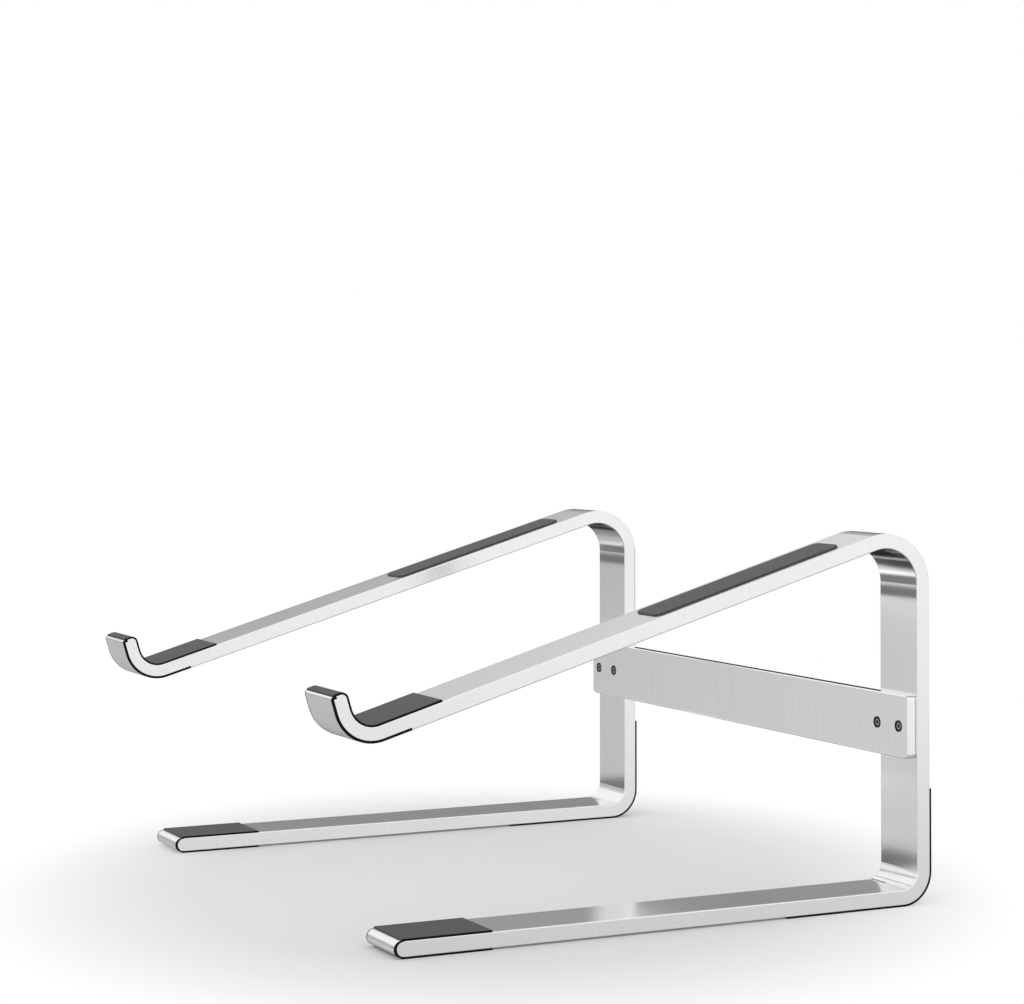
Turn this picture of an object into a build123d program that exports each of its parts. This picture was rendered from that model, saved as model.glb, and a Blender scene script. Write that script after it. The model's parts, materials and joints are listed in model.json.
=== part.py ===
from build123d import *

import os
from math import cos, radians, sin, tan

# Laptop stand: two brackets, each bent from one flat aluminium bar, joined by a crossbar that is
# screwed to the front of both risers, with silicone pads where the stand meets the desk and the
# laptop. Millimetres. +X is the user's right, +Y points away from the user, +Z is up. The origin is
# on the desk, under the middle of the stand.

# ---- Driving dimensions ----
STAND_W = 260.0  # over both brackets
BAR_W = 25.0  # width of the bent bar
BAR_T = 5.8  # thickness of the bent bar
EDGE_R = 0.4  # rounding of the bar's long edges

FOOT_REACH = 220.5  # riser's front face to the nose of the foot
ARM_REACH = 238.5  # riser's front face to the corner of the hook
ARM_HEIGHT = 142.2  # underside of the arm at the riser's front face, above the bar's underside
ARM_ANGLE = 16.5  # slope of the arm
HOOK_RISE = 21.0  # hook's outer corner to the end of its tip
LOWER_BEND_R = 6.5  # inner radius
UPPER_BEND_R = 14.4  # inner radius
HOOK_BEND_R = 14.7  # outer radius
TIP_FRONT_R = 1.2  # rounding of the tip's corner outside the hook
TIP_BACK_R = 2.0  # rounding of the tip's corner inside the hook

PAD_T = 0.6  # every pad stands this proud of the bar
PAD_EDGE_R = 0.2  # rounding of the arm pads' upper edges
PAD_FRONT_R = 0.4  # rounding of the foot pads' front edges
FILM_T = 0.15  # adhesive film under each pad
FILM_INSET = 1.5  # film's edge to the pad's edge
RIM_T = 1.0  # moulded rim that grips the bar's edge, seen from the side
RIM_END_T = 0.3  # the rim where it meets the plates above and below the nose
RIM_DEPTH = 0.6  # the rim's size across the bar

FOOT_PAD_L = 38.0  # nose to the rear end of the front foot pad
HOOK_PAD_RUN = 34.0  # hook's corner to the pad's end, along the arm
HOOK_RIM_RUN = 26.0  # hook's corner to the rim's end, along the arm
HEEL_REACH = 59.5  # riser's front face to the heel pad's front end
HEEL_RISE = 44.0  # top end of the heel pad, above the bar's underside
ARM_PAD_L = 84.0
ARM_PAD_W = 17.0
ARM_PAD_R = 3.0
ARM_PAD_START = 40.0  # upper corner of the arm to the pad's upper end

CROSSBAR_L = 258.0
CROSSBAR_H = 24.4
CROSSBAR_T = 4.0
CROSSBAR_Z = 67.9  # its middle, above the bar's underside
CROSSBAR_CORNER_R = 1.8
CROSSBAR_EDGE_R = 0.5

SCREW_OUTER_X = 123.0  # stand's middle to the outer screw of a bracket
SCREW_INNER_X = 108.5  # stand's middle to the inner screw of a bracket
SCREW_D = 2.5
SCREW_HEAD_D = 4.2
SCREW_HEAD_H = 1.2
SCREW_HEAD_R = 0.3
SCREW_L = 7.0  # under the head
SCREW_TIP = 0.4
SOCKET_AF = 1.5  # across the flats of the drive
SOCKET_DEPTH = 0.8
COUNTERBORE_D = 4.9
COUNTERBORE_DEPTH = 1.3
CLEARANCE_D = 2.7  # hole through the crossbar
THREAD_D = 2.6  # blind hole in the riser
THREAD_DEPTH = 4.8

# ---- Points of the bar's outline, in the side view: x is to the rear, y is up, the riser's front
# face is at x = 0 and the bar's underside at y = 0 ----
SLOPE = tan(radians(ARM_ANGLE))
DOWN_ARM = Vector(-cos(radians(ARM_ANGLE)), -sin(radians(ARM_ANGLE)))
UP_TIP = Vector(-sin(radians(ARM_ANGLE)), cos(radians(ARM_ANGLE)))
NOSE_X = -FOOT_REACH + BAR_T / 2

# Inner side: top of the foot, front of the riser, underside of the arm, outside of the hook.
FOOT_START = Vector(NOSE_X, BAR_T)
LOWER_CORNER = Vector(0, BAR_T)
UPPER_CORNER = Vector(0, ARM_HEIGHT)
HOOK_CORNER = Vector(-ARM_REACH, ARM_HEIGHT - ARM_REACH * SLOPE)
TIP_FRONT = HOOK_CORNER + UP_TIP * HOOK_RISE

# Outer side: underside of the foot, back of the riser, top of the arm, inside of the hook.
HEEL_CORNER = Vector(BAR_T, 0)
SHOULDER_CORNER = Vector(BAR_T, ARM_HEIGHT + BAR_T * SLOPE + BAR_T / cos(radians(ARM_ANGLE)))
CRADLE_CORNER = HOOK_CORNER + UP_TIP * BAR_T - DOWN_ARM * BAR_T
TIP_BACK = TIP_FRONT - DOWN_ARM * BAR_T
TIP_PAD_END = TIP_FRONT - DOWN_ARM * TIP_FRONT_R

# ---- Places ----
STAND_BACK = BAR_T + PAD_T
STAND_FRONT = (TIP_FRONT - (UP_TIP + DOWN_ARM) * TIP_FRONT_R).X - TIP_FRONT_R
RISER_Y = -(STAND_FRONT + STAND_BACK) / 2  # centres the stand on the origin
BRACKET_X = (STAND_W - BAR_W) / 2
SIDES = {"left": -1, "right": 1}
SCREWS = {"outer": SCREW_OUTER_X, "inner": SCREW_INNER_X}
RISER_FRONT = Plane.XZ.offset(-RISER_Y)  # faces the user
ARM_TOP = Plane(
    origin=(0, RISER_Y + SHOULDER_CORNER.X, PAD_T + SHOULDER_CORNER.Y),
    x_dir=(1, 0, 0),
    z_dir=(0, UP_TIP.X, UP_TIP.Y),
)
SCREW_Z = PAD_T + CROSSBAR_Z
SCREW_PLACES = [(sign * x, SCREW_Z) for sign in SIDES.values() for x in SCREWS.values()]


def side_plane(x):
    """The side view's plane at a distance x from the stand's middle, facing the user's right."""
    return Plane(origin=(x, RISER_Y, PAD_T), x_dir=(0, 1, 0), z_dir=(1, 0, 0))


# ---- Outlines in the side view ----
with BuildSketch() as bar_outline:
    with BuildLine():
        FilletPolyline(
            FOOT_START,
            LOWER_CORNER,
            UPPER_CORNER,
            HOOK_CORNER,
            TIP_FRONT,
            radius=[LOWER_BEND_R, UPPER_BEND_R, HOOK_BEND_R],
        )
        offset(amount=BAR_T, side=Side.RIGHT)
    make_face()
    fillet(bar_outline.vertices().sort_by_distance(TIP_FRONT)[0], radius=TIP_FRONT_R)
    fillet(bar_outline.vertices().sort_by_distance(TIP_BACK)[0], radius=TIP_BACK_R)
    with Locations((NOSE_X, BAR_T / 2)):
        Circle(BAR_T / 2)

with BuildSketch() as foot_pad_plates:
    with BuildLine():
        Line((FOOT_PAD_L - FOOT_REACH, BAR_T), FOOT_START)
        offset(amount=PAD_T, side=Side.RIGHT)
    make_face()
    front_edge = foot_pad_plates.vertices().sort_by_distance(FOOT_START + Vector(0, PAD_T))[0]
    fillet(front_edge, radius=PAD_FRONT_R)
    mirror(about=Plane.XZ.offset(-BAR_T / 2))

# A crescent round the nose, thickest at the front, that joins the two plates.
with BuildSketch() as foot_pad_rim:
    with Locations((-FOOT_REACH, BAR_T / 2)):
        SlotOverall(FOOT_PAD_L, BAR_T, align=(Align.MIN, Align.CENTER))
    with Locations((RIM_T - FOOT_REACH, BAR_T / 2)):
        SlotOverall(
            FOOT_PAD_L,
            BAR_T - 2 * RIM_END_T,
            align=(Align.MIN, Align.CENTER),
            mode=Mode.SUBTRACT,
        )
    with Locations((NOSE_X + RIM_T, BAR_T / 2)):
        Rectangle(FOOT_PAD_L, BAR_T, align=(Align.MIN, Align.CENTER), mode=Mode.SUBTRACT)

with BuildSketch() as foot_pad_films:
    with BuildLine():
        Line(
            (FOOT_PAD_L - FOOT_REACH - FILM_INSET, BAR_T), FOOT_START + Vector(FILM_INSET, 0)
        )
        offset(amount=FILM_T, side=Side.RIGHT)
    make_face()
    mirror(about=Plane.XZ.offset(-BAR_T / 2))

with BuildSketch() as heel_pad_plate:
    with BuildLine():
        FilletPolyline(
            (-HEEL_REACH, 0), HEEL_CORNER, (BAR_T, HEEL_RISE), radius=LOWER_BEND_R + BAR_T
        )
        offset(amount=PAD_T, side=Side.RIGHT)
    make_face()

with BuildSketch() as heel_pad_film:
    with BuildLine():
        FilletPolyline(
            (FILM_INSET - HEEL_REACH, 0),
            HEEL_CORNER,
            (BAR_T, HEEL_RISE - FILM_INSET),
            radius=LOWER_BEND_R + BAR_T,
        )
        offset(amount=FILM_T, side=Side.RIGHT)
    make_face()

with BuildSketch() as hook_pad_plate:
    with BuildLine():
        FilletPolyline(
            CRADLE_CORNER - DOWN_ARM * HOOK_PAD_RUN,
            CRADLE_CORNER,
            TIP_BACK,
            TIP_PAD_END,
            radius=[HOOK_BEND_R - BAR_T, TIP_BACK_R],
        )
        offset(amount=PAD_T, side=Side.RIGHT)
    make_face()

with BuildSketch() as hook_pad_rim:
    with BuildLine():
        FilletPolyline(
            HOOK_CORNER - DOWN_ARM * HOOK_RIM_RUN,
            HOOK_CORNER,
            TIP_FRONT,
            TIP_PAD_END - DOWN_ARM * RIM_T,
            radius=[HOOK_BEND_R, TIP_FRONT_R],
        )
        offset(amount=RIM_T, side=Side.RIGHT)
    make_face()

with BuildSketch() as hook_pad_film:
    with BuildLine():
        FilletPolyline(
            CRADLE_CORNER - DOWN_ARM * (HOOK_PAD_RUN - FILM_INSET),
            CRADLE_CORNER,
            TIP_BACK - UP_TIP * (TIP_BACK_R + FILM_INSET),
            radius=HOOK_BEND_R - BAR_T,
        )
        offset(amount=FILM_T, side=Side.RIGHT)
    make_face()

os.makedirs("parts", exist_ok=True)

# ---- Brackets and their pads ----
for side, sign in SIDES.items():
    x = sign * BRACKET_X

    with BuildPart() as bracket:
        with BuildSketch(side_plane(x)):
            add(bar_outline.sketch)
        extrude(amount=BAR_W / 2, both=True)
        flanks = bracket.faces().filter_by(Axis.X)
        fillet(flanks.edges(), radius=EDGE_R)
        for flank in (-1, 1):
            with BuildSketch(side_plane(x + flank * BAR_W / 2)):
                add(foot_pad_rim.sketch)
                add(hook_pad_rim.sketch)
            extrude(amount=-flank * RIM_DEPTH, mode=Mode.SUBTRACT)
        with Locations(RISER_FRONT):
            with Locations([(sign * screw_x, SCREW_Z) for screw_x in SCREWS.values()]):
                Hole(radius=THREAD_D / 2, depth=THREAD_DEPTH)
    bracket.part.label = f"bracket_{side}"
    export_step(bracket.part, f"parts/bracket_{side}.step")

    film_half_w = BAR_W / 2 - FILM_INSET

    with BuildPart() as front_foot_pad_film:
        with BuildSketch(side_plane(x)):
            add(foot_pad_films.sketch)
        extrude(amount=film_half_w, both=True)
    front_foot_pad_film.part.label = f"front_foot_pad_film_{side}"
    export_step(front_foot_pad_film.part, f"parts/front_foot_pad_film_{side}.step")

    with BuildPart() as front_foot_pad:
        with BuildSketch(side_plane(x)):
            add(foot_pad_plates.sketch)
        extrude(amount=BAR_W / 2, both=True)
        for flank in (-1, 1):
            with BuildSketch(side_plane(x + flank * BAR_W / 2)):
                add(foot_pad_rim.sketch)
            extrude(amount=-flank * RIM_DEPTH)
        add(front_foot_pad_film.part, mode=Mode.SUBTRACT)
    front_foot_pad.part.label = f"front_foot_pad_{side}"
    export_step(front_foot_pad.part, f"parts/front_foot_pad_{side}.step")

    with BuildPart() as heel_film:
        with BuildSketch(side_plane(x)):
            add(heel_pad_film.sketch)
        extrude(amount=film_half_w, both=True)
    heel_film.part.label = f"heel_pad_film_{side}"
    export_step(heel_film.part, f"parts/heel_pad_film_{side}.step")

    with BuildPart() as heel_pad:
        with BuildSketch(side_plane(x)):
            add(heel_pad_plate.sketch)
        extrude(amount=BAR_W / 2, both=True)
        add(heel_film.part, mode=Mode.SUBTRACT)
    heel_pad.part.label = f"heel_pad_{side}"
    export_step(heel_pad.part, f"parts/heel_pad_{side}.step")

    with BuildPart() as hook_film:
        with BuildSketch(side_plane(x)):
            add(hook_pad_film.sketch)
        extrude(amount=film_half_w, both=True)
    hook_film.part.label = f"hook_pad_film_{side}"
    export_step(hook_film.part, f"parts/hook_pad_film_{side}.step")

    with BuildPart() as hook_pad:
        with BuildSketch(side_plane(x)):
            add(hook_pad_plate.sketch)
        extrude(amount=BAR_W / 2, both=True)
        for flank in (-1, 1):
            with BuildSketch(side_plane(x + flank * BAR_W / 2)):
                add(hook_pad_rim.sketch)
            extrude(amount=-flank * RIM_DEPTH)
        add(hook_film.part, mode=Mode.SUBTRACT)
    hook_pad.part.label = f"hook_pad_{side}"
    export_step(hook_pad.part, f"parts/hook_pad_{side}.step")

    arm_pad_place = (x, -(ARM_PAD_START + ARM_PAD_L / 2))

    with BuildPart() as arm_pad_film:
        with BuildSketch(ARM_TOP):
            with Locations(arm_pad_place):
                RectangleRounded(
                    ARM_PAD_W - 2 * FILM_INSET, ARM_PAD_L - 2 * FILM_INSET, ARM_PAD_R - FILM_INSET
                )
        extrude(amount=FILM_T)
    arm_pad_film.part.label = f"arm_pad_film_{side}"
    export_step(arm_pad_film.part, f"parts/arm_pad_film_{side}.step")

    with BuildPart() as arm_pad:
        with BuildSketch(ARM_TOP):
            with Locations(arm_pad_place):
                RectangleRounded(ARM_PAD_W, ARM_PAD_L, ARM_PAD_R)
        extrude(amount=PAD_T)
        fillet(arm_pad.faces().sort_by(Axis(ARM_TOP.origin, ARM_TOP.z_dir))[-1].edges(), PAD_EDGE_R)
        add(arm_pad_film.part, mode=Mode.SUBTRACT)
    arm_pad.part.label = f"arm_pad_{side}"
    export_step(arm_pad.part, f"parts/arm_pad_{side}.step")

# ---- Crossbar ----
with BuildPart() as crossbar:
    with BuildSketch(RISER_FRONT):
        with Locations((0, PAD_T + CROSSBAR_Z)):
            RectangleRounded(CROSSBAR_L, CROSSBAR_H, CROSSBAR_CORNER_R)
    extrude(amount=CROSSBAR_T)
    fillet(crossbar.faces().filter_by(Axis.Y).edges(), radius=CROSSBAR_EDGE_R)
    with Locations(RISER_FRONT.offset(CROSSBAR_T)):
        with Locations(SCREW_PLACES):
            CounterBoreHole(
                radius=CLEARANCE_D / 2,
                counter_bore_radius=COUNTERBORE_D / 2,
                counter_bore_depth=COUNTERBORE_DEPTH,
            )
crossbar.part.label = "crossbar"
export_step(crossbar.part, "parts/crossbar.step")

# ---- Screws ----
HEAD_SEAT = CROSSBAR_T - COUNTERBORE_DEPTH  # above the riser's front face
for side, sign in SIDES.items():
    for name, screw_x in SCREWS.items():
        place = (sign * screw_x, SCREW_Z)
        with BuildPart() as screw:
            with BuildSketch(RISER_FRONT.offset(HEAD_SEAT)):
                with Locations(place):
                    Circle(SCREW_HEAD_D / 2)
            extrude(amount=SCREW_HEAD_H)
            head_rim = screw.faces().sort_by(Axis.Y)[0].edges()
            fillet(head_rim, radius=SCREW_HEAD_R)
            with BuildSketch(RISER_FRONT.offset(HEAD_SEAT)):
                with Locations(place):
                    Circle(SCREW_D / 2)
            extrude(amount=-SCREW_L)
            chamfer(screw.faces().sort_by(Axis.Y)[-1].edges(), length=SCREW_TIP)
            with BuildSketch(RISER_FRONT.offset(HEAD_SEAT + SCREW_HEAD_H)):
                with Locations(place):
                    RegularPolygon(SOCKET_AF / 2, 6, major_radius=False)
            extrude(amount=-SOCKET_DEPTH, mode=Mode.SUBTRACT)
        screw.part.label = f"screw_{side}_{name}"
        export_step(screw.part, f"parts/screw_{side}_{name}.step")
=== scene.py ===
import json
from math import cos, radians, sin

import bpy
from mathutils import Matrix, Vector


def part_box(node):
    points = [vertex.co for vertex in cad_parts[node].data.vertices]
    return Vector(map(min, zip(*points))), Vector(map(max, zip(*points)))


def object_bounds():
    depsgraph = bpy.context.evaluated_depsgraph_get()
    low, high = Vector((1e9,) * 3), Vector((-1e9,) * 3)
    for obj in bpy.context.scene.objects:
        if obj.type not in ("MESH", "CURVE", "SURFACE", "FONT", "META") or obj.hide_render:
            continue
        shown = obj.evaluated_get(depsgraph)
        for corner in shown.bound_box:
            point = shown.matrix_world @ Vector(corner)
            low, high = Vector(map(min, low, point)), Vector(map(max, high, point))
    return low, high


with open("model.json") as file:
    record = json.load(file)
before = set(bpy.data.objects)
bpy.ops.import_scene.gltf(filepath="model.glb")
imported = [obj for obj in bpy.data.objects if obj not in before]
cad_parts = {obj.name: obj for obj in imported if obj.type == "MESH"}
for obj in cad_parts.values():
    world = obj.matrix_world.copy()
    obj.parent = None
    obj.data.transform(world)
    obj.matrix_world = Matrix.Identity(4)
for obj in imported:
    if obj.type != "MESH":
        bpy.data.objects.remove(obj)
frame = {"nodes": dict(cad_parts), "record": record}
CAD_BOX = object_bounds()
NODES = frame["nodes"]
DESK_Z = CAD_BOX[0][2]
BAR_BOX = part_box("bracket_right")
BRACKET_X = (BAR_BOX[0].x + BAR_BOX[1].x) / 2
BAR_HALF_W = (BAR_BOX[1].x - BAR_BOX[0].x) / 2

# ---- Camera ----
CAMERA_LENS = 89.68
CAMERA_SENSOR = 36
CAMERA_AZIMUTH = 63.76
CAMERA_ELEVATION = -1.07
CAMERA_PLACE = (0.94802, -0.45916, 0.19373)
CAMERA_SHIFT_Y = -0.1424  # the photograph is the lower part of a wider frame


def make_camera():
    data = bpy.data.cameras.new("camera")
    data.lens = CAMERA_LENS
    data.sensor_width = CAMERA_SENSOR
    data.shift_y = CAMERA_SHIFT_Y
    camera = bpy.data.objects.new("camera", data)
    camera.location = CAMERA_PLACE
    camera.rotation_euler = (radians(90 - CAMERA_ELEVATION), 0, radians(CAMERA_AZIMUTH))
    bpy.context.scene.collection.objects.link(camera)
    bpy.context.scene.camera = camera


# ---- Node helpers ----
def grey(level):
    return (level, level, level, 1)


class Shader:
    """A material or world under construction: makes its nodes and links."""

    def __init__(self, tree):
        self.tree = tree
        tree.nodes.clear()

    def node(self, kind, links=None, **settings):
        made = self.tree.nodes.new(kind)
        for name, value in settings.items():
            setattr(made, name, value)
        for socket, value in (links or {}).items():
            self.put(made, socket, value)
        return made

    def put(self, made, socket, value):
        target = made.inputs[socket]
        if hasattr(value, "is_output"):
            self.tree.links.new(value, target)
        else:
            target.default_value = value

    def math(self, operation, *values):
        return self.node("ShaderNodeMath", dict(enumerate(values)), operation=operation).outputs[0]

    def vector_math(self, operation, *values):
        return self.node("ShaderNodeVectorMath", dict(enumerate(values)), operation=operation)

    def blend(self, factor, low, high):
        made = self.node("ShaderNodeMix", {"Factor": factor, "A": low, "B": high}, data_type="RGBA")
        return made.outputs["Result"]

    def step(self, value, low, high):
        """0 below low, 1 above high, and smooth between."""
        made = self.node(
            "ShaderNodeMapRange",
            {"Value": value, "From Min": low, "From Max": high},
            interpolation_type="SMOOTHSTEP",
        )
        return made.outputs["Result"]

    def ramp(self, value, stops):
        made = self.node("ShaderNodeValToRGB", {"Fac": value})
        elements = made.color_ramp.elements
        while len(elements) < len(stops):
            elements.new(0.5)
        for element, (place, level) in zip(elements, stops):
            element.position = place
            element.color = grey(level)
        return made.outputs["Color"]

    def place(self):
        return self.node("ShaderNodeTexCoord").outputs["Object"]

    def noise(self, place, scale, detail):
        links = {"Vector": place, "Scale": scale, "Detail": detail}
        return self.node("ShaderNodeTexNoise", links).outputs["Fac"]

    def bump(self, height, strength, distance):
        links = {"Height": height, "Strength": strength, "Distance": distance}
        return self.node("ShaderNodeBump", links).outputs[0]

    def glow(self, strength):
        return self.node("ShaderNodeEmission", {"Color": grey(1), "Strength": strength}).outputs[0]

    def principled(self, **sockets):
        """A principled surface. Underscores in the keywords stand for spaces."""
        links = {name.replace("_", " "): value for name, value in sockets.items()}
        self.output(self.node("ShaderNodeBsdfPrincipled", links).outputs[0])

    def output(self, surface):
        self.node("ShaderNodeOutputMaterial", {"Surface": surface})


def new_material(name):
    material = bpy.data.materials.new(name)
    material.use_nodes = True
    return material, Shader(material.node_tree)


# ---- Aluminium ----
BAR_GRAIN = (900.0, 900.0, 900.0)  # bead-blasted: as fine along X, Y and Z
CROSSBAR_GRAIN = (2200.0, 2200.0, 40.0)  # brushed across its length, along Z
CLOUD_SCALE = 18.0
CLOUD_ROUGHNESS = 0.08  # how much the roughness drifts over the surface
METAL_BUMP = 0.06
METAL_BUMP_DEPTH = 0.0002


def aluminium(name, grain, roughness, dark, light):
    """Satin anodised aluminium. grain is how fine the texture is along X, Y and Z."""
    material, shader = new_material(name)
    place = shader.place()
    stretched = shader.node("ShaderNodeMapping", {"Vector": place, "Scale": grain}).outputs[0]
    fine = shader.noise(stretched, 1.0, 3.0)
    cloud = shader.noise(place, CLOUD_SCALE, 2.0)
    smoothest = roughness - CLOUD_ROUGHNESS / 2
    shader.principled(
        Base_Color=shader.blend(fine, grey(dark), grey(light)),
        Metallic=1.0,
        Roughness=shader.math("MULTIPLY_ADD", cloud, CLOUD_ROUGHNESS, smoothest),
        Normal=shader.bump(fine, METAL_BUMP, METAL_BUMP_DEPTH),
    )
    return material


# ---- Silicone ----
SILICONE_GRAIN = 2600.0
SILICONE_DARK = (0.034, 0.032, 0.034, 1)
SILICONE_LIGHT = (0.056, 0.053, 0.056, 1)
SILICONE_SHINE = 0.5
# Painted shade: the pad turns near black and loses shine along the bar's side edges.
EDGE_SHADE_SHINE_LOSS = 0.42
EDGE_SHADE_START = 0.0010  # from the bar's edge inwards
EDGE_SHADE_FULL = 0.0005


def silicone():
    """Matt dark silicone, with painted shade making it near black and less shiny along the cut
    edges.
    """
    material, shader = new_material("silicone_pad")
    place = shader.place()
    fine = shader.noise(place, SILICONE_GRAIN, 2.0)
    across = shader.node("ShaderNodeSeparateXYZ", {"Vector": place}).outputs["X"]
    from_bracket = shader.math("SUBTRACT", shader.math("ABSOLUTE", across), BRACKET_X)
    off_middle = shader.math("ABSOLUTE", from_bracket)
    # Mask for the painted shade along the pad's side edges
    edge_shade = shader.step(off_middle, BAR_HALF_W - EDGE_SHADE_START, BAR_HALF_W - EDGE_SHADE_FULL)
    tone = shader.blend(fine, SILICONE_DARK, SILICONE_LIGHT)
    shader.principled(
        Base_Color=shader.blend(edge_shade, tone, grey(0.004)),
        Roughness=0.55,
        Specular_IOR_Level=shader.math("MULTIPLY_ADD", edge_shade, -EDGE_SHADE_SHINE_LOSS, SILICONE_SHINE),
        Normal=shader.bump(fine, 0.25, 0.0001),
    )
    return material


# ---- Steel ----
STEEL_GRAIN = 3000.0
STEEL_DARK = (0.24, 0.24, 0.25, 1)
STEEL_LIGHT = (0.40, 0.40, 0.41, 1)
STEEL_BLACK = (0.012, 0.012, 0.013, 1)
RIM_STARTS = 0.30  # radius, as a share of the head's width
RIM_IS_FULL = 0.36


def steel():
    """Turned steel: the flat of the head is grey and it turns near black towards its rim."""
    material, shader = new_material("steel_screw")
    coordinates = shader.node("ShaderNodeTexCoord")
    fine = shader.noise(coordinates.outputs["Object"], STEEL_GRAIN, 2.0)
    centred = shader.vector_math("ADD", coordinates.outputs["Generated"], (-0.5, 0, -0.5))
    flat = shader.vector_math("MULTIPLY", centred.outputs["Vector"], (1, 0, 1))
    radius = shader.vector_math("LENGTH", flat.outputs["Vector"]).outputs["Value"]
    tone = shader.blend(fine, STEEL_DARK, STEEL_LIGHT)
    shader.principled(
        Base_Color=shader.blend(shader.step(radius, RIM_STARTS, RIM_IS_FULL), tone, STEEL_BLACK),
        Metallic=1.0,
        Roughness=0.35,
    )
    return material


# ---- Adhesive ----
ADHESIVE_GRAIN = 400.0
ADHESIVE_DARK = (0.70, 0.69, 0.62, 1)
ADHESIVE_LIGHT = (0.82, 0.81, 0.76, 1)


def adhesive():
    material, shader = new_material("adhesive_film")
    fine = shader.noise(shader.place(), ADHESIVE_GRAIN, 2.0)
    shader.principled(
        Base_Color=shader.blend(fine, ADHESIVE_DARK, ADHESIVE_LIGHT),
        Roughness=0.4,
    )
    return material


def dress_nodes():
    slots = {
        "anodised_bar": aluminium("anodised_bar", BAR_GRAIN, 0.15, 0.83, 0.93),
        "anodised_crossbar": aluminium("anodised_crossbar", CROSSBAR_GRAIN, 0.16, 0.86, 1.0),
        "silicone_pad": silicone(),
        "steel_screw": steel(),
        "adhesive_film": adhesive(),
    }
    for subpart in frame["record"]["subparts"]:
        node = NODES[subpart["node"]]
        material = slots[subpart["material_slot"]]
        for slot in node.material_slots:
            slot.material = material
        if not node.material_slots:
            node.data.materials.append(material)


# ---- Floor ----
FLOOR_RADIUS = 4.0
FLOOR_GREY = 0.775
SHADE_MIDDLE = (0.010, -0.005)  # painted shadow: the floor is grey round here and fades to a painted white glow
SHADE_ALONG = 0.260  # half-sizes of the painted shadow patch, along and across the camera's bearing
SHADE_ACROSS = 0.205
# (distance out from the patch's middle, share of painted white glow)
SHADE_FADE = [(0.40, 0.0), (0.60, 0.05), (0.75, 0.33), (0.86, 0.62), (0.95, 0.88), (1.0, 1.0)]


def make_floor():
    bpy.ops.mesh.primitive_circle_add(vertices=96, radius=FLOOR_RADIUS, fill_type="NGON")
    floor = bpy.context.object
    floor.name = "floor"
    floor.location = (0, 0, DESK_Z)
    material, shader = new_material("floor_paper")
    patch = shader.node(
        "ShaderNodeMapping",
        {
            "Vector": shader.place(),
            "Location": (*SHADE_MIDDLE, 0),
            "Rotation": (0, 0, radians(CAMERA_AZIMUTH - 90)),
            "Scale": (SHADE_ALONG, SHADE_ACROSS, 1),
        },
        vector_type="TEXTURE",
    )
    distance = shader.vector_math("LENGTH", patch.outputs[0]).outputs["Value"]
    paper = shader.node("ShaderNodeBsdfDiffuse", {"Color": grey(FLOOR_GREY)}).outputs[0]
    # Painted shadow: diffuse grey in the middle, mixed outwards into a white glow.
    mix = {0: shader.ramp(distance, SHADE_FADE), 1: paper, 2: shader.glow(1.0)}
    shader.output(shader.node("ShaderNodeMixShader", mix).outputs[0])
    floor.data.materials.append(material)
    floor.visible_glossy = False


# ---- Boards that only reflections see ----
# Name, brightness, and where the board begins and ends across, along, and above the floor.
BOARDS = [
    ("flag_crossbar", 0.0, (-0.26, 0.0), (0.2, 0.2), (0.088, 0.125)),
    ("flag_riser_right", 0.16, (0.070, 0.115), (0.102, 0.102), (0.1160, 0.1203)),
    ("flag_riser_left", 0.16, (-0.165, -0.120), (0.102, 0.102), (0.1160, 0.1203)),
    # Painted shade: these two floor boards stand in for the floor's shadow by the risers' feet,
    # which the risers' fronts reflect.
    ("floor_shade_board_right", 0.14, (0.0175, 0.0625), (0.055, 0.095), (0.0, 0.0)),
    ("floor_shade_board_left", 0.14, (-0.2175, -0.1725), (0.055, 0.095), (0.0, 0.0)),
]


def make_boards():
    for name, level, (left, right), (front, rear), (low, high) in BOARDS:
        mesh = bpy.data.meshes.new(name)
        corners = [(left, front, low), (right, front, low), (right, rear, high), (left, rear, high)]
        mesh.from_pydata([(x, y, DESK_Z + z) for x, y, z in corners], [], [range(4)])
        material, shader = new_material(name)
        shader.output(shader.glow(level))
        mesh.materials.append(material)
        board = bpy.data.objects.new(name, mesh)
        board.visible_camera = False
        board.visible_diffuse = False
        board.visible_shadow = False
        bpy.context.scene.collection.objects.link(board)


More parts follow.
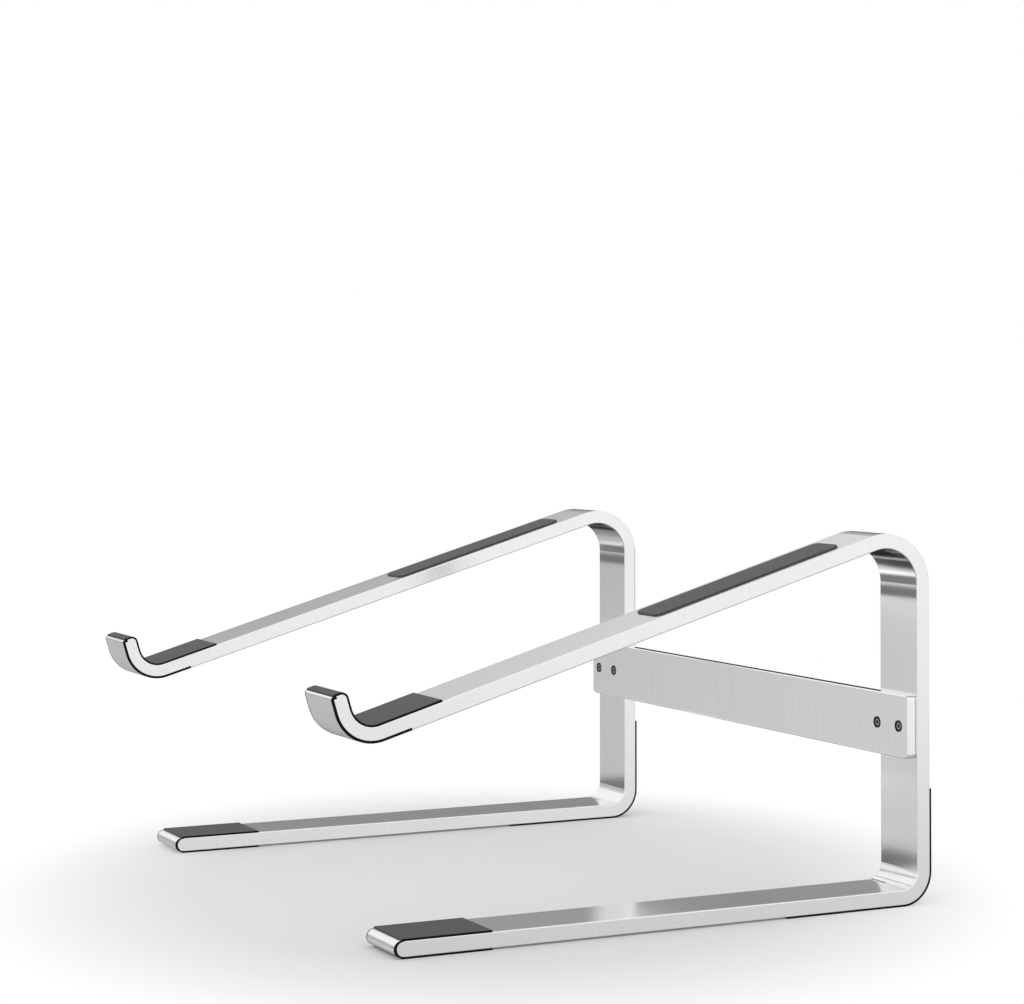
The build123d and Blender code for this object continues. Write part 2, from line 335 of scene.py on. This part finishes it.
# ---- World: plain white light, and a studio that only reflections see ----
# Each profile lists (elevation in degrees, brightness) for one side of the studio.
LEFT_FRONT = [
    (-60, 0.04), (-31, 0.06), (-26, 0.52), (-5, 0.54),
    (-3, 0.4), (1, 0.4), (5, 0.55), (9, 0.7), (14, 1.0),
]
LEFT_REAR = [
    (-60, 0.04), (-31, 0.06), (-26, 0.50), (-5, 0.40),
    (2, 0.02), (6, 0.04), (9, 0.32), (15, 0.34), (24, 1.0),
]
RIGHT = [
    (-60, 0.45), (-20, 0.55), (-12, 0.63), (-10, 0.73), (-8, 0.88), (-6, 0.97), (-3, 1.0),
]
# Round lights and black flags: azimuth from +X, elevation, inner and outer radius in degrees, and
# brightness.
SPOTS = [
    (-130, -7, 10, 26, 0.66),
    (-150, -19, 4.5, 9, 1.3),
    (-141, 5, 4, 9, 1.0),
    (150, -16, 8, 14, 0.02),
    (163, -32, 8, 13, 0.02),
]
REAR_FADE = (-0.15, 0.30)  # where the front profile turns into the rear one, in Y
RIGHT_FADE = (-0.3, 0.3)  # where the left profiles turn into the right one, in X


def direction(azimuth, elevation):
    a, e = radians(azimuth), radians(elevation)
    return (cos(a) * cos(e), sin(a) * cos(e), sin(e))


def make_world():
    world = bpy.data.worlds.new("studio")
    bpy.context.scene.world = world
    world.use_nodes = True
    shader = Shader(world.node_tree)
    way = shader.node("ShaderNodeTexCoord").outputs["Generated"]
    split = shader.node("ShaderNodeSeparateXYZ", {"Vector": way})
    elevation = shader.math("ARCSINE", split.outputs["Z"])
    fraction = shader.math("MULTIPLY_ADD", elevation, 1 / radians(180), 0.5)

    def profile(stops):
        return shader.ramp(fraction, [(0.5 + degrees / 180, level) for degrees, level in stops])

    rearward = shader.step(split.outputs["Y"], *REAR_FADE)
    left = shader.blend(rearward, profile(LEFT_FRONT), profile(LEFT_REAR))
    room = shader.blend(shader.step(split.outputs["X"], *RIGHT_FADE), left, profile(RIGHT))
    for azimuth, height, inner, outer, level in SPOTS:
        near = shader.vector_math("DOT_PRODUCT", way, direction(azimuth, height)).outputs["Value"]
        inside = shader.step(near, cos(radians(outer)), cos(radians(inner)))
        room = shader.blend(inside, room, grey(level))
    path = shader.node("ShaderNodeLightPath")
    seen = shader.blend(path.outputs["Is Glossy Ray"], grey(1), room)
    sky = shader.node("ShaderNodeBackground", {"Color": seen, "Strength": 1.0})
    shader.node("ShaderNodeOutputWorld", {"Surface": sky.outputs[0]})


bpy.context.scene.view_settings.view_transform = "Standard"
make_camera()
make_floor()
make_world()
make_boards()
dress_nodes()
